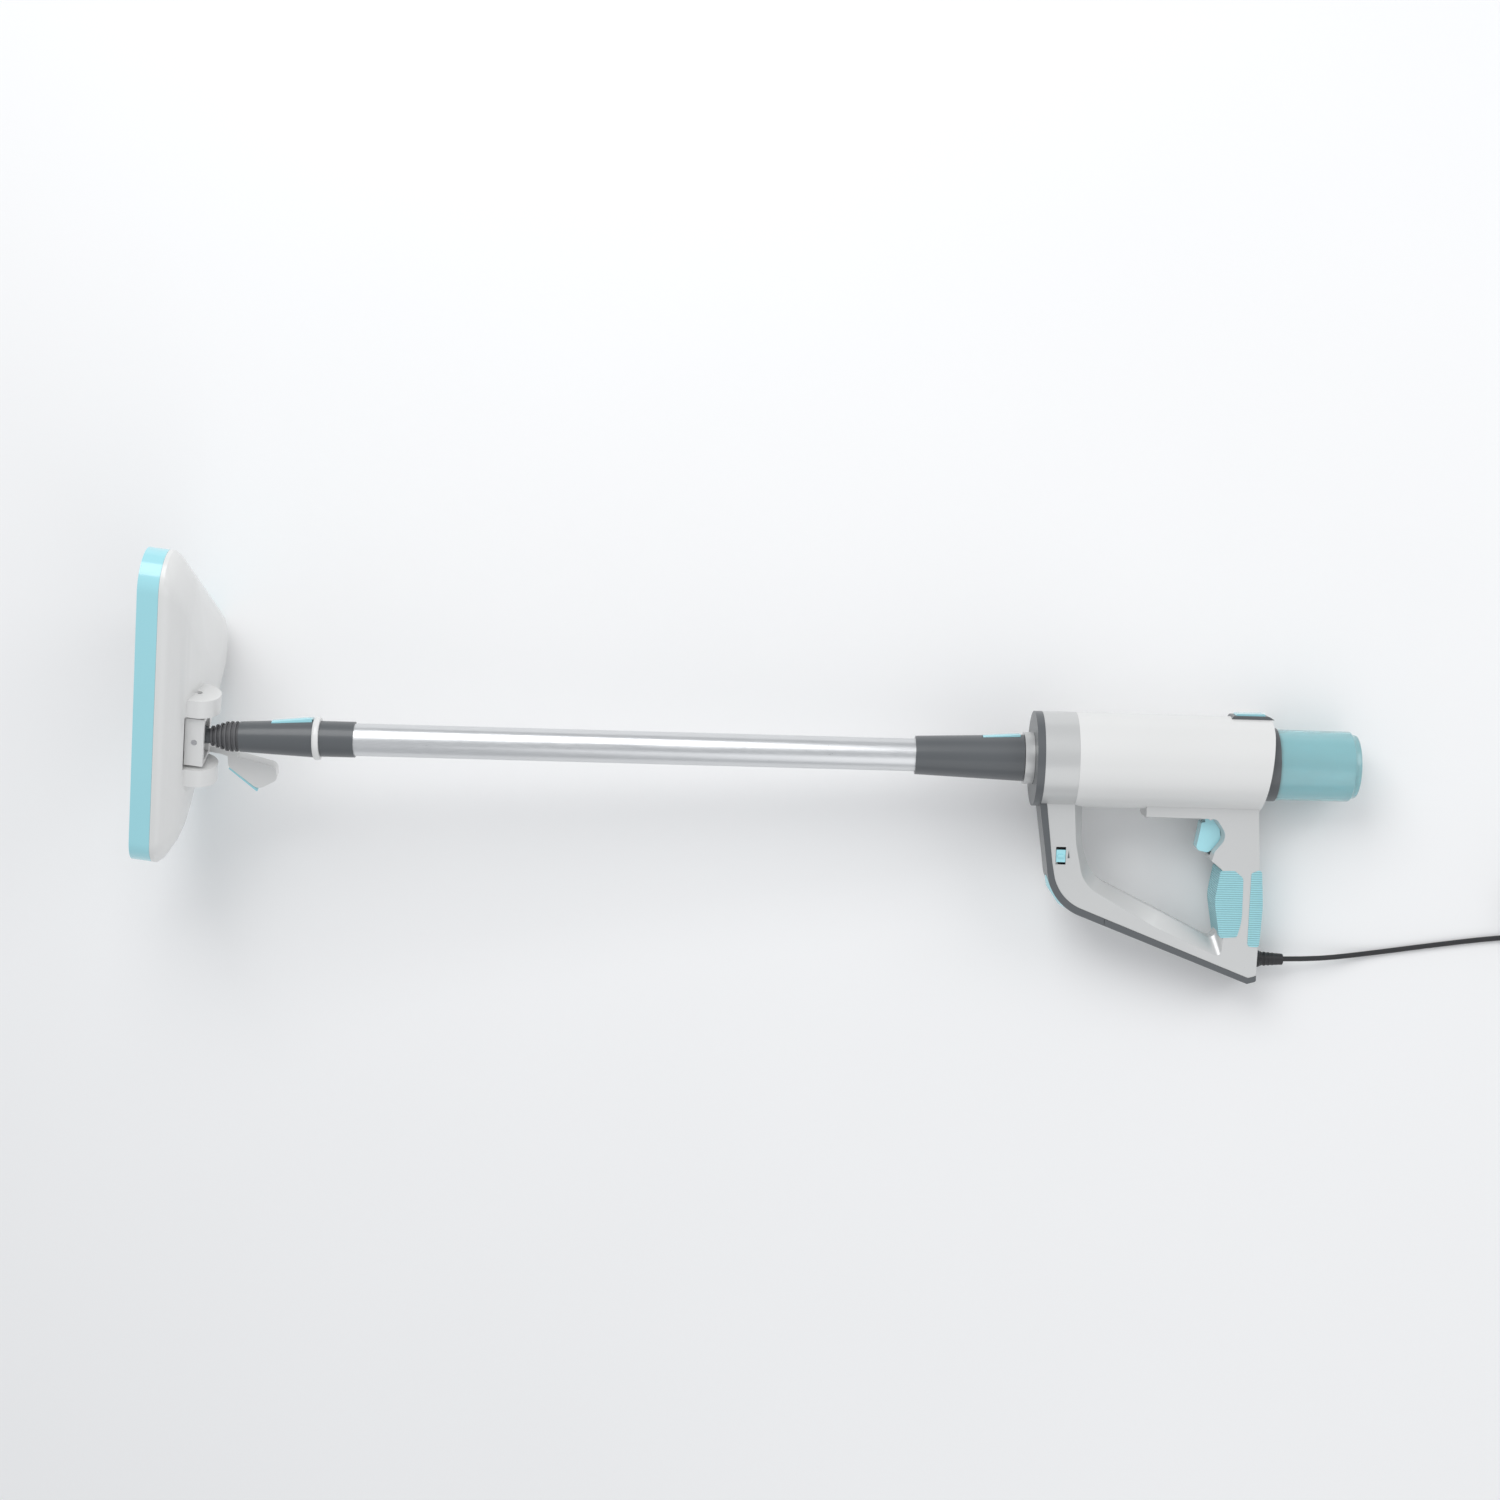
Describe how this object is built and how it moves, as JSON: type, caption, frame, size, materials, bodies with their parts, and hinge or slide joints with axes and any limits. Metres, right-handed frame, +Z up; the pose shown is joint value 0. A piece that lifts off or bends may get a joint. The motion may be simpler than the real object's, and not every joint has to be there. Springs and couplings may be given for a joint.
{
  "type": "steam mop",
  "caption": "Steam mop with a swivelling triangular head, a straight wand, an open loop handle with trigger, a clear water tank and a mains cord, lying on its side.",
  "frame": {"origin": "centre of the footprint on the floor, cord left out", "axes": "mop lies on its side; +X runs from the head towards the handle, +Y across the floor away from the loop of the handle, +Z up"},
  "size_m": [1.4817, 0.3894, 0.2781],
  "materials": {
    "white": "satin",
    "silver": "metallic satin",
    "dark_grey": "satin",
    "aqua": "gloss",
    "clear_aqua": "clear gloss",
    "grip": "soft touch",
    "bellows": "matt",
    "aluminium": "brushed",
    "steel": "satin",
    "black": "matt",
    "inner_plastic": "matt",
    "hose": "matt",
    "board": "satin",
    "hook_strip": "fibrous"
  },
  "bodies": {
    "handle": {"neck_lug": "dark_grey", "neck_bellows": "bellows", "neck_shell": "dark_grey", "neck_ring": "white", "neck_sleeve": "dark_grey", "neck_seal": "black", "wand_tube": "aluminium", "steam_hose": "hose", "wand_connector": "dark_grey", "frame_shell_near": "silver", "frame_shell_far": "silver", "body_cover": "white", "tank_collar": "dark_grey", "front_trim": "dark_grey", "lower_trim": "dark_grey", "nozzle_collar": "silver", "nozzle_spigot": "dark_grey", "grip_front": "grip", "grip_back": "grip", "latch_housing": "dark_grey", "heater_block": "aluminium", "steam_pipe": "steel", "water_pump": "inner_plastic", "water_pipe": "hose", "pump_pipe": "hose", "thermostat": "steel", "control_board": "board", "micro_switch": "black", "trigger_pin": "steel", "strain_relief": "black", "cord_lead": "black", "cord_tail": "black", "cord_coil": "black", "plug": "black", "plug_pins": "steel"},
    "yoke": {"yoke": "white", "heel_strip": "aqua", "cross_pin": "steel"},
    "head": {"head_skirt": "aqua", "sole_plate": "dark_grey", "pad_grip_strips": "hook_strip", "head_cover": "white", "yoke_pins": "steel"},
    "trigger": {"trigger": "aqua"},
    "power_button": {"power_button": "aqua"},
    "steam_slider": {"steam_slider": "aqua"},
    "release_button": {"release_button": "aqua"},
    "tank": {"water_tank": "clear_aqua", "tank_valve": "dark_grey"},
    "neck_button": {"neck_button": "aqua"},
    "wand_button": {"wand_button": "aqua"}
  },
  "joints": [
    {"name": "neck_swivel", "type": "hinge", "parent": "handle", "child": "yoke", "pos_m": [-0.52347, 0.01921, 0.16173], "axis": [0.1014, -0.4284, 0.8979], "range_deg": [-13, 26]},
    {"name": "head_pitch", "type": "hinge", "parent": "yoke", "child": "head", "pos_m": [-0.52347, 0.01921, 0.16173], "axis": [0.1614, 0.8977, 0.4101], "range_deg": [-2, 55]},
    {"name": "trigger_pull", "type": "hinge", "parent": "handle", "child": "trigger", "pos_m": [0.45261, -0.0324, 0.0451], "axis": [0.1114, -0.1217, 0.9863], "range_deg": [0, 10], "stiffness_Nm_per_rad": 0.8, "springref_deg": -2.86},
    {"name": "power_press", "type": "slide", "parent": "handle", "child": "power_button", "axis": [0.8263, 0.5627, -0.0239], "range_m": [0, 0.0025], "stiffness_N_per_m": 400, "springref_m": -0.0005},
    {"name": "steam_set", "type": "slide", "parent": "handle", "child": "steam_slider", "axis": [0.0137, 0.9926, 0.1209], "range_m": [-0.002, 0.002]},
    {"name": "release_press", "type": "slide", "parent": "handle", "child": "release_button", "axis": [-0.0137, -0.9926, -0.1209], "range_m": [0, 0.0014], "stiffness_N_per_m": 400, "springref_m": -0.0005},
    {"name": "tank_pull", "type": "slide", "parent": "handle", "child": "tank", "axis": [0.9937, 0, -0.1122], "range_m": [0, 0.08]},
    {"name": "neck_button_press", "type": "slide", "parent": "handle", "child": "neck_button", "axis": [-0.0137, -0.9926, -0.1209], "range_m": [0, 0.0012], "stiffness_N_per_m": 400, "springref_m": -0.0005},
    {"name": "wand_button_press", "type": "slide", "parent": "handle", "child": "wand_button", "axis": [-0.0137, -0.9926, -0.1209], "range_m": [0, 0.0012], "stiffness_N_per_m": 400, "springref_m": -0.0005}
  ]
}
